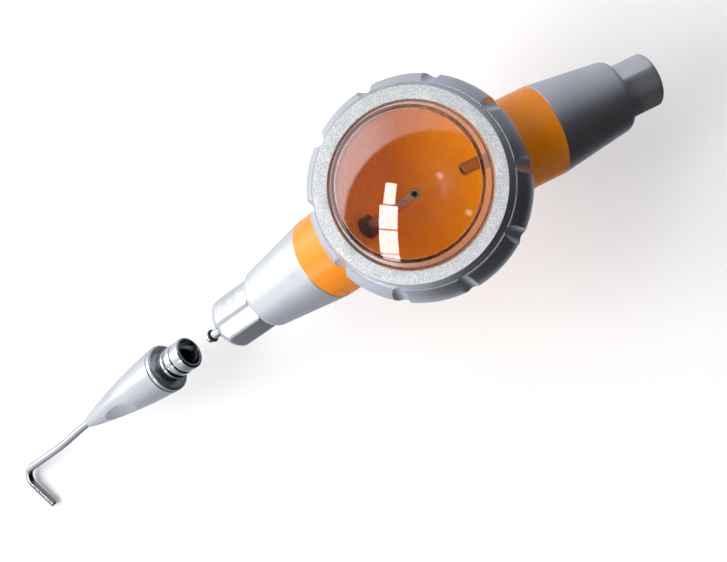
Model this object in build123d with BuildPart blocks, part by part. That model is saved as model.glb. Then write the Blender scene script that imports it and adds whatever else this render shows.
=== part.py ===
from build123d import *
import math
import os

# Air-polishing handpiece: a powder bowl on two drooping arms.
# Origin: centre of the hose socket's mouth. +X runs forward, to the nozzle. +Z is up,
# along the axis of the cap. Millimetres throughout.
#
# Heights on the cap axis are measured from the ring's top face, so they are negative.
# Heights on an arm's axis are measured outward from the point where it meets the cap axis.

# ---- driving dimensions ----
REAR_DROOP = 26.0             # arm to the hose, degrees below level
FRONT_DROOP = 23.0            # arm to the nozzle
FACE_ABOVE_CROSSING = 12.4    # ring face above the point where the arm axes meet

RING_RADIUS = 23.6            # at the ring's lower edge
RING_BULGE = (22.9, -5.0)     # radius and height of a point on its rounded side
RING_BOTTOM = -10.4
FACE_RADIUS = 20.2            # flat top face, inside a steep step down to the ring's side
STEP_RADIUS = 21.25
STEP_BOTTOM = -2.5
WINDOW_RADIUS = 17.3
NECK_RADIUS = 20.5            # threaded neck of the bowl
THREAD_GAP = 0.35             # ring bore over the neck
SCALLOPS = 10
SCALLOP_RADIUS = 1.8
SCALLOP_TURN = 17.0
SCALLOP_TILT = 15.7           # each notch's floor leans out towards the ring's lower edge
SCALLOP_FLOOR = 20.85         # radius of that floor at SCALLOP_HEIGHT
SCALLOP_HEIGHT = -2.0

CAVITY_RADIUS = 17.4          # straight wall, then half a sphere
CAVITY_CENTRE = -11.0
BOWL_RADIUS = 22.6            # its sphere's centre is where the arm axes meet
RIM_TOP = -5.9
SHOULDER_TOP = -10.9

REAR_STUB_RADIUS = 10.2
BLEND_RADIUS = 2.0            # hollow blend between each stub and the bowl
REAR_SEAM = 29.7              # orange stub to metal sleeve
SLEEVE_END = 48.2
SLEEVE_END_RADIUS = 8.0
SOCKET_MOUTH = 57.0
SOCKET_BORE = 4.5
SOCKET_DEPTH = 12.0
SOCKET_FLATS = 12.0           # across the flats of the octagon
SOCKET_TURN = 12.5            # one flat's turn about the axis, from straight up

FRONT_STUB_RADIUS = 9.7
FRONT_SEAM = 29.9
COLLAR_END = 49.8
COLLAR_END_RADIUS = 7.0
NUT_END = 62.6
NUT_FLATS = 12.1
NUT_TURN = -16.0
NUT_BORE = 3.97
NUT_BORE_BOTTOM = 54.4
SPIGOT_TIP = 70.0

PLUG_MOUTH = 76.9             # nozzle as drawn off, ahead of the nut
PLUG_RADIUS = 3.9
CONE_BACK = 84.8
CONE_RADIUS = 5.95
CONE_TIP = 116.0
CONE_TIP_RADIUS = 1.35

WATER_OFFSET = 3.2            # water passage below the arm axis in the end fittings

# ---- places ----
rear_sin = math.sin(math.radians(REAR_DROOP))
rear_cos = math.cos(math.radians(REAR_DROOP))
front_sin = math.sin(math.radians(FRONT_DROOP))
front_cos = math.cos(math.radians(FRONT_DROOP))
crossing = Vector(SOCKET_MOUTH * rear_cos, 0, SOCKET_MOUTH * rear_sin)

cap = Plane(origin=crossing + Vector(0, 0, FACE_ABOVE_CROSSING), x_dir=(1, 0, 0), z_dir=(0, 0, 1))
rear_arm = Plane(origin=crossing, x_dir=(-rear_sin, 0, rear_cos), z_dir=(-rear_cos, 0, -rear_sin))
front_arm = Plane(origin=crossing, x_dir=(front_sin, 0, front_cos), z_dir=(front_cos, 0, -front_sin))


def half_plane(frame):
    """The plane that holds a frame's Z axis: its X is the radius and its Y the height."""
    return Plane(origin=frame.origin, x_dir=frame.x_dir, z_dir=-frame.y_dir)


def turn(frame, corners, mode=Mode.ADD):
    """Revolve an outline of (radius, height) corners about a frame's Z axis."""
    with BuildSketch(half_plane(frame)) as section:
        with BuildLine():
            Polyline(*corners, close=True)
        make_face()
    revolve(section.sketch, axis=Axis(frame.origin, frame.z_dir), mode=mode)


def tube(frame, start, end, outer, inner=0.0, mode=Mode.ADD):
    """A plain turned tube, bush or bore between two heights."""
    turn(frame, [(inner, start), (outer, start), (outer, end), (inner, end)], mode)


def o_ring(frame, height, centre_radius, cord_radius):
    """A round cord bent into a full ring about a frame's Z axis."""
    with BuildSketch(half_plane(frame)) as section:
        with Locations((centre_radius, height)):
            Circle(cord_radius)
    revolve(section.sketch, axis=Axis(frame.origin, frame.z_dir))


def octagon(frame, start, end, flats, turn_angle):
    """An eight-sided bar between two heights; flats is its width across the flats."""
    with BuildSketch(frame.offset(start)) as outline:
        RegularPolygon(flats / 2, 8, major_radius=False, rotation=turn_angle + 22.5)
    extrude(outline.sketch, amount=end - start)


def bent_tube(route_frame, corners, radii, outer, inner, mode=Mode.ADD):
    """Sweep a round tube along straight runs joined by arcs, drawn in one plane."""
    with BuildLine(route_frame) as route:
        FilletPolyline(*corners, radius=radii)
    path = route.wires()[0]
    with BuildSketch(Plane(origin=path @ 0, z_dir=path % 0)) as section:
        Circle(outer)
        if inner > 0:
            Circle(inner, mode=Mode.SUBTRACT)
    sweep(section.sketch, path=path, mode=mode)


def round_hole(frame, start, end, below, radius):
    """A hole parallel to a frame's Z axis, a given distance below it."""
    with BuildSketch(frame.offset(start)) as outline:
        with Locations((-below, 0)):
            Circle(radius)
    extrude(outline.sketch, amount=end - start, mode=Mode.SUBTRACT)


def save(builder, name):
    """Label a finished piece and write it out."""
    builder.part.label = name
    export_step(builder.part, f"parts/{name}.step")


os.makedirs("parts", exist_ok=True)

# ---- water pipe's route, in the vertical plane through both arms ----
# Drawn on the cap's frame: X forward, second value the height below the ring's face.
WATER_PIPE_RADIUS = 0.9
WATER_LOW_POINT = -32.0       # corner of the route under the powder cavity
ARM_WATER_OFFSET = 4.6        # below the axis inside the stubs

level_plane = Plane(origin=cap.origin, x_dir=(1, 0, 0), z_dir=(0, -1, 0))


def on_rear(height, below):
    """A point in the vertical plane, a distance below the rear arm's axis."""
    x = -height * rear_cos + below * rear_sin
    return x, -FACE_ABOVE_CROSSING - height * rear_sin - below * rear_cos


def on_front(height, below):
    """A point in the vertical plane, a distance below the front arm's axis."""
    x = height * front_cos - below * front_sin
    return x, -FACE_ABOVE_CROSSING - height * front_sin - below * front_cos


water_route = [
    on_rear(44.9, WATER_OFFSET),
    on_rear(41.0, WATER_OFFSET),
    on_rear(36.0, ARM_WATER_OFFSET),
    on_rear(23.0, ARM_WATER_OFFSET),
    (0, WATER_LOW_POINT),
    on_front(24.0, ARM_WATER_OFFSET),
    on_front(34.0, ARM_WATER_OFFSET),
    on_front(39.5, WATER_OFFSET),
    on_front(47.0, WATER_OFFSET),
]
water_radii = [6, 6, 8, 20, 8, 6, 6]

# ---- powder bowl with both arm stubs ----
CHANNEL_GAP = 0.05
VALVE_BORE = 2.95
VALVE_BORE_END = 20.8
INSERT_DEPTH = 5.4            # how far a sleeve reaches into its stub
INSERT_GAP = 0.05
SLEEVE_INSERT_RADIUS = 8.2
COLLAR_INSERT_RADIUS = 7.6
INLET_BUSH_RADIUS = 1.9
OUTLET_BUSH_RADIUS = 2.4
STUB_START = 12.0             # the stubs grow out of the bowl's wall
bowl_centre = -FACE_ABOVE_CROSSING


def stub(frame, radius, seam):
    """An arm's stub, with a hollow blend where it leaves the bowl's sphere."""
    centre_radius = radius + BLEND_RADIUS
    centre_height = math.sqrt((BOWL_RADIUS + BLEND_RADIUS) ** 2 - centre_radius ** 2)
    on_sphere = BOWL_RADIUS / (BOWL_RADIUS + BLEND_RADIUS)
    foot = (centre_radius * on_sphere, centre_height * on_sphere)
    half_way = math.atan2(-centre_height, -centre_radius) / 2 - math.pi / 2
    middle = (centre_radius + BLEND_RADIUS * math.cos(half_way),
              centre_height + BLEND_RADIUS * math.sin(half_way))
    with BuildSketch(half_plane(frame)) as section:
        with BuildLine():
            Line((0, STUB_START), (radius, STUB_START))
            Line((radius, STUB_START), foot)
            ThreePointArc(foot, middle, (radius, centre_height))
            Polyline((radius, centre_height), (radius, seam), (0, seam), (0, STUB_START))
        make_face()
    revolve(section.sketch, axis=Axis(frame.origin, frame.z_dir))


with BuildPart() as powder_bowl:
    with BuildSketch(half_plane(cap)):
        with BuildLine():
            Polyline((0, RIM_TOP), (NECK_RADIUS - 0.4, RIM_TOP), (NECK_RADIUS, RIM_TOP - 0.4),
                     (NECK_RADIUS, SHOULDER_TOP), (BOWL_RADIUS - 0.4, SHOULDER_TOP),
                     (BOWL_RADIUS, bowl_centre))
            CenterArc((0, bowl_centre), BOWL_RADIUS, 0, -90)
            Line((0, bowl_centre - BOWL_RADIUS), (0, RIM_TOP))
        make_face()
    revolve(axis=Axis(cap.origin, cap.z_dir))
    stub(rear_arm, REAR_STUB_RADIUS, REAR_SEAM)
    stub(front_arm, FRONT_STUB_RADIUS, FRONT_SEAM)
    # the blends stop level with the shoulder under the ring
    tube(cap, SHOULDER_TOP, RIM_TOP, FRONT_SEAM, NECK_RADIUS, Mode.SUBTRACT)
    # powder cavity
    with BuildSketch(half_plane(cap)):
        with BuildLine():
            Polyline((0, RIM_TOP + 1), (CAVITY_RADIUS, RIM_TOP + 1),
                     (CAVITY_RADIUS, CAVITY_CENTRE))
            CenterArc((0, CAVITY_CENTRE), CAVITY_RADIUS, 0, -90)
            Line((0, CAVITY_CENTRE - CAVITY_RADIUS), (0, RIM_TOP + 1))
        make_face()
    revolve(axis=Axis(cap.origin, cap.z_dir), mode=Mode.SUBTRACT)
    # rear stub: seat for the sleeve, valve chamber, seat for the inlet bush
    tube(rear_arm, REAR_SEAM - INSERT_DEPTH, REAR_SEAM, SLEEVE_INSERT_RADIUS + INSERT_GAP,
         mode=Mode.SUBTRACT)
    tube(rear_arm, VALVE_BORE_END, REAR_SEAM, VALVE_BORE, mode=Mode.SUBTRACT)
    tube(rear_arm, STUB_START, VALVE_BORE_END, INLET_BUSH_RADIUS + INSERT_GAP, mode=Mode.SUBTRACT)
    # front stub: seat for the collar, seat for the outlet bush
    tube(front_arm, FRONT_SEAM - INSERT_DEPTH, FRONT_SEAM, COLLAR_INSERT_RADIUS + INSERT_GAP,
         mode=Mode.SUBTRACT)
    tube(front_arm, STUB_START, FRONT_SEAM, OUTLET_BUSH_RADIUS + INSERT_GAP, mode=Mode.SUBTRACT)
    # water channel under the cavity
    bent_tube(level_plane, water_route[1:-1], water_radii[1:-1], WATER_PIPE_RADIUS + CHANNEL_GAP,
              0, mode=Mode.SUBTRACT)
save(powder_bowl, "powder_bowl")

# ---- cap: screw ring, glide washer, clear cover, gasket ----
LIP_UNDERSIDE = -3.4
WASHER_GAP = 0.03
WASHER_THICKNESS = 0.27
FLANGE_TOP = -3.75
FLANGE_BOTTOM = -4.95
FLANGE_RADIUS = 20.2
COVER_RADIUS = 17.0
CROWN_RADIUS = 15.9           # the cover's steep flank ends here, and its shallow crown starts
CROWN_BASE = 2.8
COVER_RISE = 5.8
COVER_WALL = 1.0
GASKET_SQUEEZE_GAP = 0.05
RING_BORE = NECK_RADIUS + THREAD_GAP

with BuildPart() as cap_ring:
    with BuildSketch(half_plane(cap)):
        with BuildLine():
            Polyline((RING_BORE, RING_BOTTOM), (RING_BORE, LIP_UNDERSIDE),
                     (WINDOW_RADIUS, LIP_UNDERSIDE), (WINDOW_RADIUS, -0.15),
                     (WINDOW_RADIUS + 0.15, 0), (FACE_RADIUS - 0.15, 0), (FACE_RADIUS, -0.2),
                     (STEP_RADIUS - 0.35, STEP_BOTTOM + 0.25), (STEP_RADIUS - 0.2, STEP_BOTTOM),
                     (STEP_RADIUS, STEP_BOTTOM))
            ThreePointArc((STEP_RADIUS, STEP_BOTTOM), RING_BULGE,
                          (RING_RADIUS, RING_BOTTOM + 0.4))
            Polyline((RING_RADIUS, RING_BOTTOM + 0.4), (RING_RADIUS - 0.4, RING_BOTTOM),
                     (RING_BORE, RING_BOTTOM))
        make_face()
    revolve(axis=Axis(cap.origin, cap.z_dir))
    # finger scallops: half-round notches down the side, deepest at the step
    tilt = math.radians(SCALLOP_TILT)
    notch_centre = SCALLOP_FLOOR + SCALLOP_RADIUS / math.cos(tilt)
    for scallop in range(SCALLOPS):
        angle = math.radians(SCALLOP_TURN + 360 / SCALLOPS * scallop)
        outward = cap.x_dir * math.cos(angle) + cap.y_dir * math.sin(angle)
        start = cap.origin + outward * notch_centre + cap.z_dir * SCALLOP_HEIGHT
        axis_dir = outward * math.sin(tilt) - cap.z_dir * math.cos(tilt)
        with BuildSketch(Plane(origin=start, z_dir=axis_dir)):
            Circle(SCALLOP_RADIUS)
        extrude(amount=-RING_BOTTOM + 2, both=True, mode=Mode.SUBTRACT)
save(cap_ring, "cap_ring")

with BuildPart() as glide_washer:
    tube(cap, LIP_UNDERSIDE - WASHER_GAP - WASHER_THICKNESS, LIP_UNDERSIDE - WASHER_GAP,
         FLANGE_RADIUS, 17.6)
save(glide_washer, "glide_washer")


def cap_radius(half_width, rise):
    """Radius of the circle that rises by this much over this half width."""
    return (half_width ** 2 + rise ** 2) / (2 * rise)


inner_crown = CROWN_RADIUS - COVER_WALL * 0.95
inner_crown_base = CROWN_BASE - COVER_WALL * 0.65
inner_rise = COVER_RISE - COVER_WALL

with BuildPart() as cap_lens:
    with BuildSketch(half_plane(cap)):
        with BuildLine():
            RadiusArc((CROWN_RADIUS, CROWN_BASE), (0, COVER_RISE),
                      -cap_radius(CROWN_RADIUS, COVER_RISE - CROWN_BASE))
            Line((0, COVER_RISE), (0, inner_rise))
            RadiusArc((0, inner_rise), (inner_crown, inner_crown_base),
                      cap_radius(inner_crown, inner_rise - inner_crown_base))
            Polyline((inner_crown, inner_crown_base), (COVER_RADIUS - COVER_WALL, -0.1),
                     (COVER_RADIUS - COVER_WALL, FLANGE_BOTTOM), (FLANGE_RADIUS, FLANGE_BOTTOM),
                     (FLANGE_RADIUS, FLANGE_TOP), (COVER_RADIUS, FLANGE_TOP), (COVER_RADIUS, 0),
                     (CROWN_RADIUS, CROWN_BASE))
        make_face()
    revolve(axis=Axis(cap.origin, cap.z_dir))
save(cap_lens, "cap_lens")

with BuildPart() as cap_gasket:
    tube(cap, RIM_TOP + GASKET_SQUEEZE_GAP, FLANGE_BOTTOM, 20.0, 17.7)
save(cap_gasket, "cap_gasket")

# ---- rear arm: sleeve, socket and air line ----
SHANK_START = 42.8            # the hose socket's shank inside the sleeve
SHANK_RADIUS = 6.5
SEAL_CORD = 0.33
REAR_SEAL = 27.0              # heights of the seals' grooves
SOCKET_SEAL = 45.6
GROOVE_HALF = 0.4
AIR_PIPE_START = 28.7
AIR_PIPE_RADIUS = 1.7

with BuildPart() as rear_sleeve:
    insert = REAR_SEAM - INSERT_DEPTH + 0.2
    turn(rear_arm, [(7.0, insert), (SLEEVE_INSERT_RADIUS - 0.3, insert),
                    (SLEEVE_INSERT_RADIUS, insert + 0.3), (SLEEVE_INSERT_RADIUS, REAR_SEAL - GROOVE_HALF),
                    (7.55, REAR_SEAL - GROOVE_HALF), (7.55, REAR_SEAL + GROOVE_HALF),
                    (SLEEVE_INSERT_RADIUS, REAR_SEAL + GROOVE_HALF), (SLEEVE_INSERT_RADIUS, REAR_SEAM),
                    (REAR_STUB_RADIUS - 0.1, REAR_SEAM), (REAR_STUB_RADIUS, REAR_SEAM + 0.1),
                    (SLEEVE_END_RADIUS + 0.1, SLEEVE_END - 1.1),
                    (SLEEVE_END_RADIUS - 0.25, SLEEVE_END - 0.3), (SLEEVE_END_RADIUS - 0.8, SLEEVE_END),
                    (SHANK_RADIUS + INSERT_GAP, SLEEVE_END), (SHANK_RADIUS + INSERT_GAP, SHANK_START - 0.2),
                    (7.0, SHANK_START - 0.8)])
save(rear_sleeve, "rear_sleeve")

with BuildPart() as rear_sleeve_seal:
    o_ring(rear_arm, REAR_SEAL, 7.9, SEAL_CORD)
save(rear_sleeve_seal, "rear_sleeve_seal")

with BuildPart() as hose_socket:
    octagon(rear_arm, SLEEVE_END, SOCKET_MOUTH, SOCKET_FLATS, SOCKET_TURN)
    # rounded end: the octagon's corners are turned off towards the mouth
    turn(rear_arm, [(0, SLEEVE_END - 1), (8, SLEEVE_END - 1), (8, SOCKET_MOUTH - 1.6),
                    (6.35, SOCKET_MOUTH - 1.1), (5.95, SOCKET_MOUTH - 0.45), (5.4, SOCKET_MOUTH),
                    (0, SOCKET_MOUTH)], mode=Mode.INTERSECT)
    turn(rear_arm, [(0, SHANK_START), (SHANK_RADIUS - 0.3, SHANK_START),
                    (SHANK_RADIUS, SHANK_START + 0.3), (SHANK_RADIUS, SOCKET_SEAL - GROOVE_HALF),
                    (5.9, SOCKET_SEAL - GROOVE_HALF), (5.9, SOCKET_SEAL + GROOVE_HALF),
                    (SHANK_RADIUS, SOCKET_SEAL + GROOVE_HALF), (SHANK_RADIUS, SLEEVE_END),
                    (0, SLEEVE_END)])
    tube(rear_arm, SOCKET_MOUTH - SOCKET_DEPTH, SOCKET_MOUTH, SOCKET_BORE, mode=Mode.SUBTRACT)
    tube(rear_arm, SHANK_START, SOCKET_MOUTH, AIR_PIPE_RADIUS + INSERT_GAP, mode=Mode.SUBTRACT)
    round_hole(rear_arm, SHANK_START, SOCKET_MOUTH - SOCKET_DEPTH, WATER_OFFSET,
               WATER_PIPE_RADIUS + CHANNEL_GAP)
save(hose_socket, "hose_socket")

with BuildPart() as socket_seal:
    o_ring(rear_arm, SOCKET_SEAL, 6.22, 0.3)
save(socket_seal, "socket_seal")

with BuildPart() as air_feed_pipe:
    tube(rear_arm, AIR_PIPE_START, 44.8, AIR_PIPE_RADIUS, 1.1)
save(air_feed_pipe, "air_feed_pipe")

VALVE_EDGE = 25.9
SEAT_BORE = 1.5
BALL_RADIUS = 1.9
ball_height = VALVE_EDGE - math.sqrt(BALL_RADIUS ** 2 - SEAT_BORE ** 2) - 0.04

with BuildPart() as valve_seat:
    tube(rear_arm, VALVE_EDGE, AIR_PIPE_START, VALVE_BORE, SEAT_BORE)
save(valve_seat, "valve_seat")

with BuildPart() as valve_ball:
    with Locations(rear_arm.offset(ball_height)):
        Sphere(BALL_RADIUS)
save(valve_ball, "valve_ball")

BUSH_HEAD = 0.2               # thickness of the inlet bush's head in the valve bore
SPRING_START = VALVE_BORE_END + BUSH_HEAD + 0.02
SPRING_END = ball_height - 1.45
SPRING_RADIUS = 1.45
SPRING_WIRE = 0.16
SPRING_TURNS = 3.5

with BuildPart() as valve_spring:
    coil_length = SPRING_END - SPRING_START - 2 * SPRING_WIRE
    with BuildLine() as coil:
        Helix(pitch=coil_length / SPRING_TURNS, height=coil_length, radius=SPRING_RADIUS,
              center=rear_arm.offset(SPRING_START + SPRING_WIRE).origin, direction=rear_arm.z_dir)
    with BuildSketch(Plane(origin=coil.line @ 0, z_dir=coil.line % 0)):
        Circle(SPRING_WIRE)
    sweep(path=coil.line, is_frenet=True)
save(valve_spring, "valve_spring")

with BuildPart() as inlet_bush:
    turn(rear_arm, [(1.4, 15.6), (INLET_BUSH_RADIUS, 15.6), (INLET_BUSH_RADIUS, VALVE_BORE_END),
                    (VALVE_BORE - 0.05, VALVE_BORE_END),
                    (VALVE_BORE - 0.05, VALVE_BORE_END + BUSH_HEAD), (1.4, VALVE_BORE_END + BUSH_HEAD)])
save(inlet_bush, "inlet_bush")

with BuildPart() as air_inlet_tube:
    turn(rear_arm, [(0.75, 9.3), (1.05, 9.3), (1.35, 9.6), (1.35, 20.4), (0.75, 20.4)])
save(air_inlet_tube, "air_inlet_tube")

# ---- water pipe ----
with BuildPart() as water_pipe:
    bent_tube(level_plane, water_route, water_radii, WATER_PIPE_RADIUS, 0.55)
save(water_pipe, "water_pipe")

# ---- front arm: powder line, collar, nut and spigot ----
OUTLET_RADIUS = 1.15
OUTLET_BORE = 0.6

with BuildPart() as outlet_bush:
    tube(front_arm, 15.2, 21.2, OUTLET_BUSH_RADIUS, OUTLET_RADIUS + INSERT_GAP)
save(outlet_bush, "outlet_bush")

# The outlet tube leaves the front wall along the arm's axis and turns up towards the cap.
# Its plane leans a little about the arm's axis.
OUTLET_LEAN = 10.0
RISE_ANGLE = 47.0             # turn from the arm's axis to the rising end
outlet_corner = 4.35          # height of the bend's corner on the arm axis
outlet_rise = 8.8             # from that corner to the open end

with BuildPart() as outlet_tube:
    lean = math.radians(OUTLET_LEAN)
    up = front_arm.x_dir * math.cos(lean) - front_arm.y_dir * math.sin(lean)
    lean_plane = Plane(origin=front_arm.origin, x_dir=-front_arm.z_dir,
                       z_dir=(-front_arm.z_dir).cross(up))
    end_x = -outlet_corner + outlet_rise * math.cos(math.radians(RISE_ANGLE))
    end_y = outlet_rise * math.sin(math.radians(RISE_ANGLE))
    bent_tube(lean_plane, [(-19.2, 0), (-outlet_corner, 0), (end_x, end_y)], 8.0,
              OUTLET_RADIUS, OUTLET_BORE)
save(outlet_tube, "outlet_tube")

with BuildPart() as powder_pipe:
    tube(front_arm, 19.3, 47.0, 1.1, 0.6)
save(powder_pipe, "powder_pipe")

COLLAR_SEAL = 27.2
NUT_SHANK_START = 43.2
NUT_SHANK_RADIUS = 5.4

with BuildPart() as front_collar:
    insert = FRONT_SEAM - INSERT_DEPTH + 0.2
    turn(front_arm, [(6.3, insert), (COLLAR_INSERT_RADIUS - 0.3, insert),
                     (COLLAR_INSERT_RADIUS, insert + 0.3), (COLLAR_INSERT_RADIUS, COLLAR_SEAL - GROOVE_HALF),
                     (6.95, COLLAR_SEAL - GROOVE_HALF), (6.95, COLLAR_SEAL + GROOVE_HALF),
                     (COLLAR_INSERT_RADIUS, COLLAR_SEAL + GROOVE_HALF), (COLLAR_INSERT_RADIUS, FRONT_SEAM),
                     (FRONT_STUB_RADIUS - 0.1, FRONT_SEAM), (FRONT_STUB_RADIUS, FRONT_SEAM + 0.1),
                     (COLLAR_END_RADIUS + 0.12, COLLAR_END - 1.0),
                     (COLLAR_END_RADIUS - 0.2, COLLAR_END - 0.3), (COLLAR_END_RADIUS - 0.7, COLLAR_END),
                     (NUT_SHANK_RADIUS + INSERT_GAP, COLLAR_END),
                     (NUT_SHANK_RADIUS + INSERT_GAP, NUT_SHANK_START - 0.2), (6.3, NUT_SHANK_START - 1)])
save(front_collar, "front_collar")

with BuildPart() as collar_seal:
    o_ring(front_arm, COLLAR_SEAL, 7.3, SEAL_CORD)
save(collar_seal, "collar_seal")

SNAP_RING = 60.1              # heights of the grooves in the nut's bore
NUT_SEAL = 57.1
PLUG_GROOVE_HALF = 0.5
WATER_HOLE_END = 47.4
WATER_OUTLET_RADIUS = 0.6

with BuildPart() as front_nut:
    octagon(front_arm, COLLAR_END, NUT_END, NUT_FLATS, NUT_TURN)
    turn(front_arm, [(0, COLLAR_END - 1), (8, COLLAR_END - 1), (8, NUT_END - 2.6),
                     (6.5, NUT_END - 2.2), (6.1, NUT_END - 1.3), (5.6, NUT_END - 0.6),
                     (4.9, NUT_END - 0.1), (4.6, NUT_END), (0, NUT_END)], mode=Mode.INTERSECT)
    tube(front_arm, NUT_SHANK_START, COLLAR_END, NUT_SHANK_RADIUS)
    tube(front_arm, NUT_BORE_BOTTOM, NUT_END, NUT_BORE, mode=Mode.SUBTRACT)
    tube(front_arm, NUT_BORE_BOTTOM - 1.6, NUT_BORE_BOTTOM, 2.25, mode=Mode.SUBTRACT)
    tube(front_arm, NUT_SHANK_START, NUT_BORE_BOTTOM, 1.65, mode=Mode.SUBTRACT)
    tube(front_arm, SNAP_RING - PLUG_GROOVE_HALF, SNAP_RING + PLUG_GROOVE_HALF, 4.75,
         mode=Mode.SUBTRACT)
    tube(front_arm, NUT_SEAL - PLUG_GROOVE_HALF, NUT_SEAL + PLUG_GROOVE_HALF, 4.85,
         mode=Mode.SUBTRACT)
    round_hole(front_arm, NUT_SHANK_START, WATER_HOLE_END, WATER_OFFSET,
               WATER_PIPE_RADIUS + CHANNEL_GAP)
    round_hole(front_arm, WATER_HOLE_END, NUT_BORE_BOTTOM, WATER_OFFSET, WATER_OUTLET_RADIUS)
save(front_nut, "front_nut")

with BuildPart() as spigot:
    turn(front_arm, [(0.55, 47.0), (1.12, 47.0), (1.12, 44.2), (1.6, 44.2),
                     (1.6, NUT_BORE_BOTTOM - 1.55), (2.2, NUT_BORE_BOTTOM - 1.55),
                     (2.2, NUT_BORE_BOTTOM), (1.1, NUT_BORE_BOTTOM + 0.6), (1.1, SPIGOT_TIP - 2.1),
                     (0.85, SPIGOT_TIP - 2.1), (0.85, SPIGOT_TIP - 1.1), (1.15, SPIGOT_TIP - 1.1),
                     (1.15, SPIGOT_TIP - 0.3), (0.9, SPIGOT_TIP), (0.55, SPIGOT_TIP)])
save(spigot, "spigot")

with BuildPart() as spigot_o_ring:
    o_ring(front_arm, SPIGOT_TIP - 1.6, 1.2, 0.33)
save(spigot_o_ring, "spigot_o_ring")

with BuildPart() as snap_ring:
    SNAP_GAP = 60.0           # opening of the ring, degrees
    with BuildSketch(half_plane(front_arm)) as section:
        with Locations((4.33, SNAP_RING)):
            Circle(0.35)
    revolve(section.sketch, axis=Axis(front_arm.origin, front_arm.z_dir),
            revolution_arc=360 - SNAP_GAP)
save(snap_ring, "snap_ring")

with BuildPart() as nut_seal:
    o_ring(front_arm, NUT_SEAL, 4.38, 0.42)
save(nut_seal, "nut_seal")

# ---- nozzle, drawn off along the front arm ----
SWIVEL_RADIUS = 2.95
SWIVEL_END = 91.0
SWIVEL_SEAL = 87.0
SWIVEL_CLIP = 89.8
BUSH_START = 91.4
BUSH_END = 97.0
BUSH_RADIUS = 2.6
NOZZLE_TUBE_RADIUS = 0.95
NOZZLE_TUBE_BORE = 0.7
POWDER_TUBE_RADIUS = 0.5
POWDER_TUBE_BORE = 0.32

with BuildPart() as nozzle_plug:
    turn(front_arm, [(3.1, PLUG_MOUTH), (3.6, PLUG_MOUTH), (PLUG_RADIUS, PLUG_MOUTH + 0.3),
                     (PLUG_RADIUS, 79.5), (3.6, 79.7), (3.6, 80.1), (PLUG_RADIUS, 80.3),
                     (PLUG_RADIUS, 81.5), (3.4, 81.8), (3.4, 82.4), (PLUG_RADIUS, 82.7),
                     (PLUG_RADIUS, 83.6), (3.65, 83.8), (3.65, CONE_BACK - 0.1),
                     (SWIVEL_RADIUS, CONE_BACK - 0.1), (SWIVEL_RADIUS, SWIVEL_SEAL - GROOVE_HALF),
                     (2.38, SWIVEL_SEAL - GROOVE_HALF), (2.38, SWIVEL_SEAL + GROOVE_HALF),
                     (SWIVEL_RADIUS, SWIVEL_SEAL + GROOVE_HALF),
                     (SWIVEL_RADIUS, SWIVEL_CLIP - PLUG_GROOVE_HALF),
                     (2.5, SWIVEL_CLIP - PLUG_GROOVE_HALF), (2.5, SWIVEL_CLIP + PLUG_GROOVE_HALF),
                     (SWIVEL_RADIUS, SWIVEL_CLIP + PLUG_GROOVE_HALF), (SWIVEL_RADIUS, SWIVEL_END),
                     (1.9, SWIVEL_END), (1.9, 83.2), (3.1, 83.2)])
save(nozzle_plug, "nozzle_plug")

with BuildPart() as swivel_seal:
    o_ring(front_arm, SWIVEL_SEAL, 2.68, 0.28)
save(swivel_seal, "swivel_seal")

with BuildPart() as swivel_clip:
    with BuildSketch(half_plane(front_arm)) as section:
        with Locations((2.92, SWIVEL_CLIP)):
            Rectangle(0.64, 0.6)
    revolve(section.sketch, axis=Axis(front_arm.origin, front_arm.z_dir), revolution_arc=300)
save(swivel_clip, "swivel_clip")

# Two shallow finger hollows are milled on the cone by a large round cutter.
HOLLOW_HEIGHT = 103.0
HOLLOW_TURN = -49.0
HOLLOW_DEPTH = 0.62
CONE_RADIUS_THERE = 3.95
CONE_SLOPE = 9.4              # degrees, at the hollows
CUTTER_RADIUS = 31.0
cutter_reach = CUTTER_RADIUS - HOLLOW_DEPTH
cutter_x = CONE_RADIUS_THERE + cutter_reach * math.cos(math.radians(CONE_SLOPE))
cutter_y = HOLLOW_HEIGHT + cutter_reach * math.sin(math.radians(CONE_SLOPE))

with BuildPart() as nozzle_cone:
    with BuildSketch(half_plane(front_arm)):
        with BuildLine():
            Polyline((3.0, CONE_BACK), (CONE_RADIUS - 0.5, CONE_BACK), (CONE_RADIUS - 0.05, CONE_BACK + 0.45),
                     (CONE_RADIUS - 0.05, 86.0), (CONE_RADIUS - 0.3, 86.2), (CONE_RADIUS - 0.05, 86.45))
            ThreePointArc((CONE_RADIUS - 0.05, 86.45), (4.22, 101.2), (CONE_TIP_RADIUS, CONE_TIP))
            Polyline((CONE_TIP_RADIUS, CONE_TIP), (1.0, CONE_TIP), (1.0, 104.0), (1.6, 102.5),
                     (1.6, 97.8), (2.65, 97.1), (2.65, 91.2), (3.0, 91.2), (3.0, 90.25), (3.3, 90.25),
                     (3.3, 89.4), (3.0, 89.4), (3.0, CONE_BACK))
        make_face()
    revolve(axis=Axis(front_arm.origin, front_arm.z_dir))
    for side in (0, 180):
        angle = math.radians(HOLLOW_TURN + side)
        outward = front_arm.x_dir * math.cos(angle) + front_arm.y_dir * math.sin(angle)
        mill_plane = Plane(origin=front_arm.origin, x_dir=outward,
                           z_dir=outward.cross(front_arm.z_dir))
        with BuildSketch(mill_plane):
            with Locations((cutter_x, cutter_y)):
                Circle(CUTTER_RADIUS)
        extrude(amount=10, both=True, mode=Mode.SUBTRACT)
save(nozzle_cone, "nozzle_cone")

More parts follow.
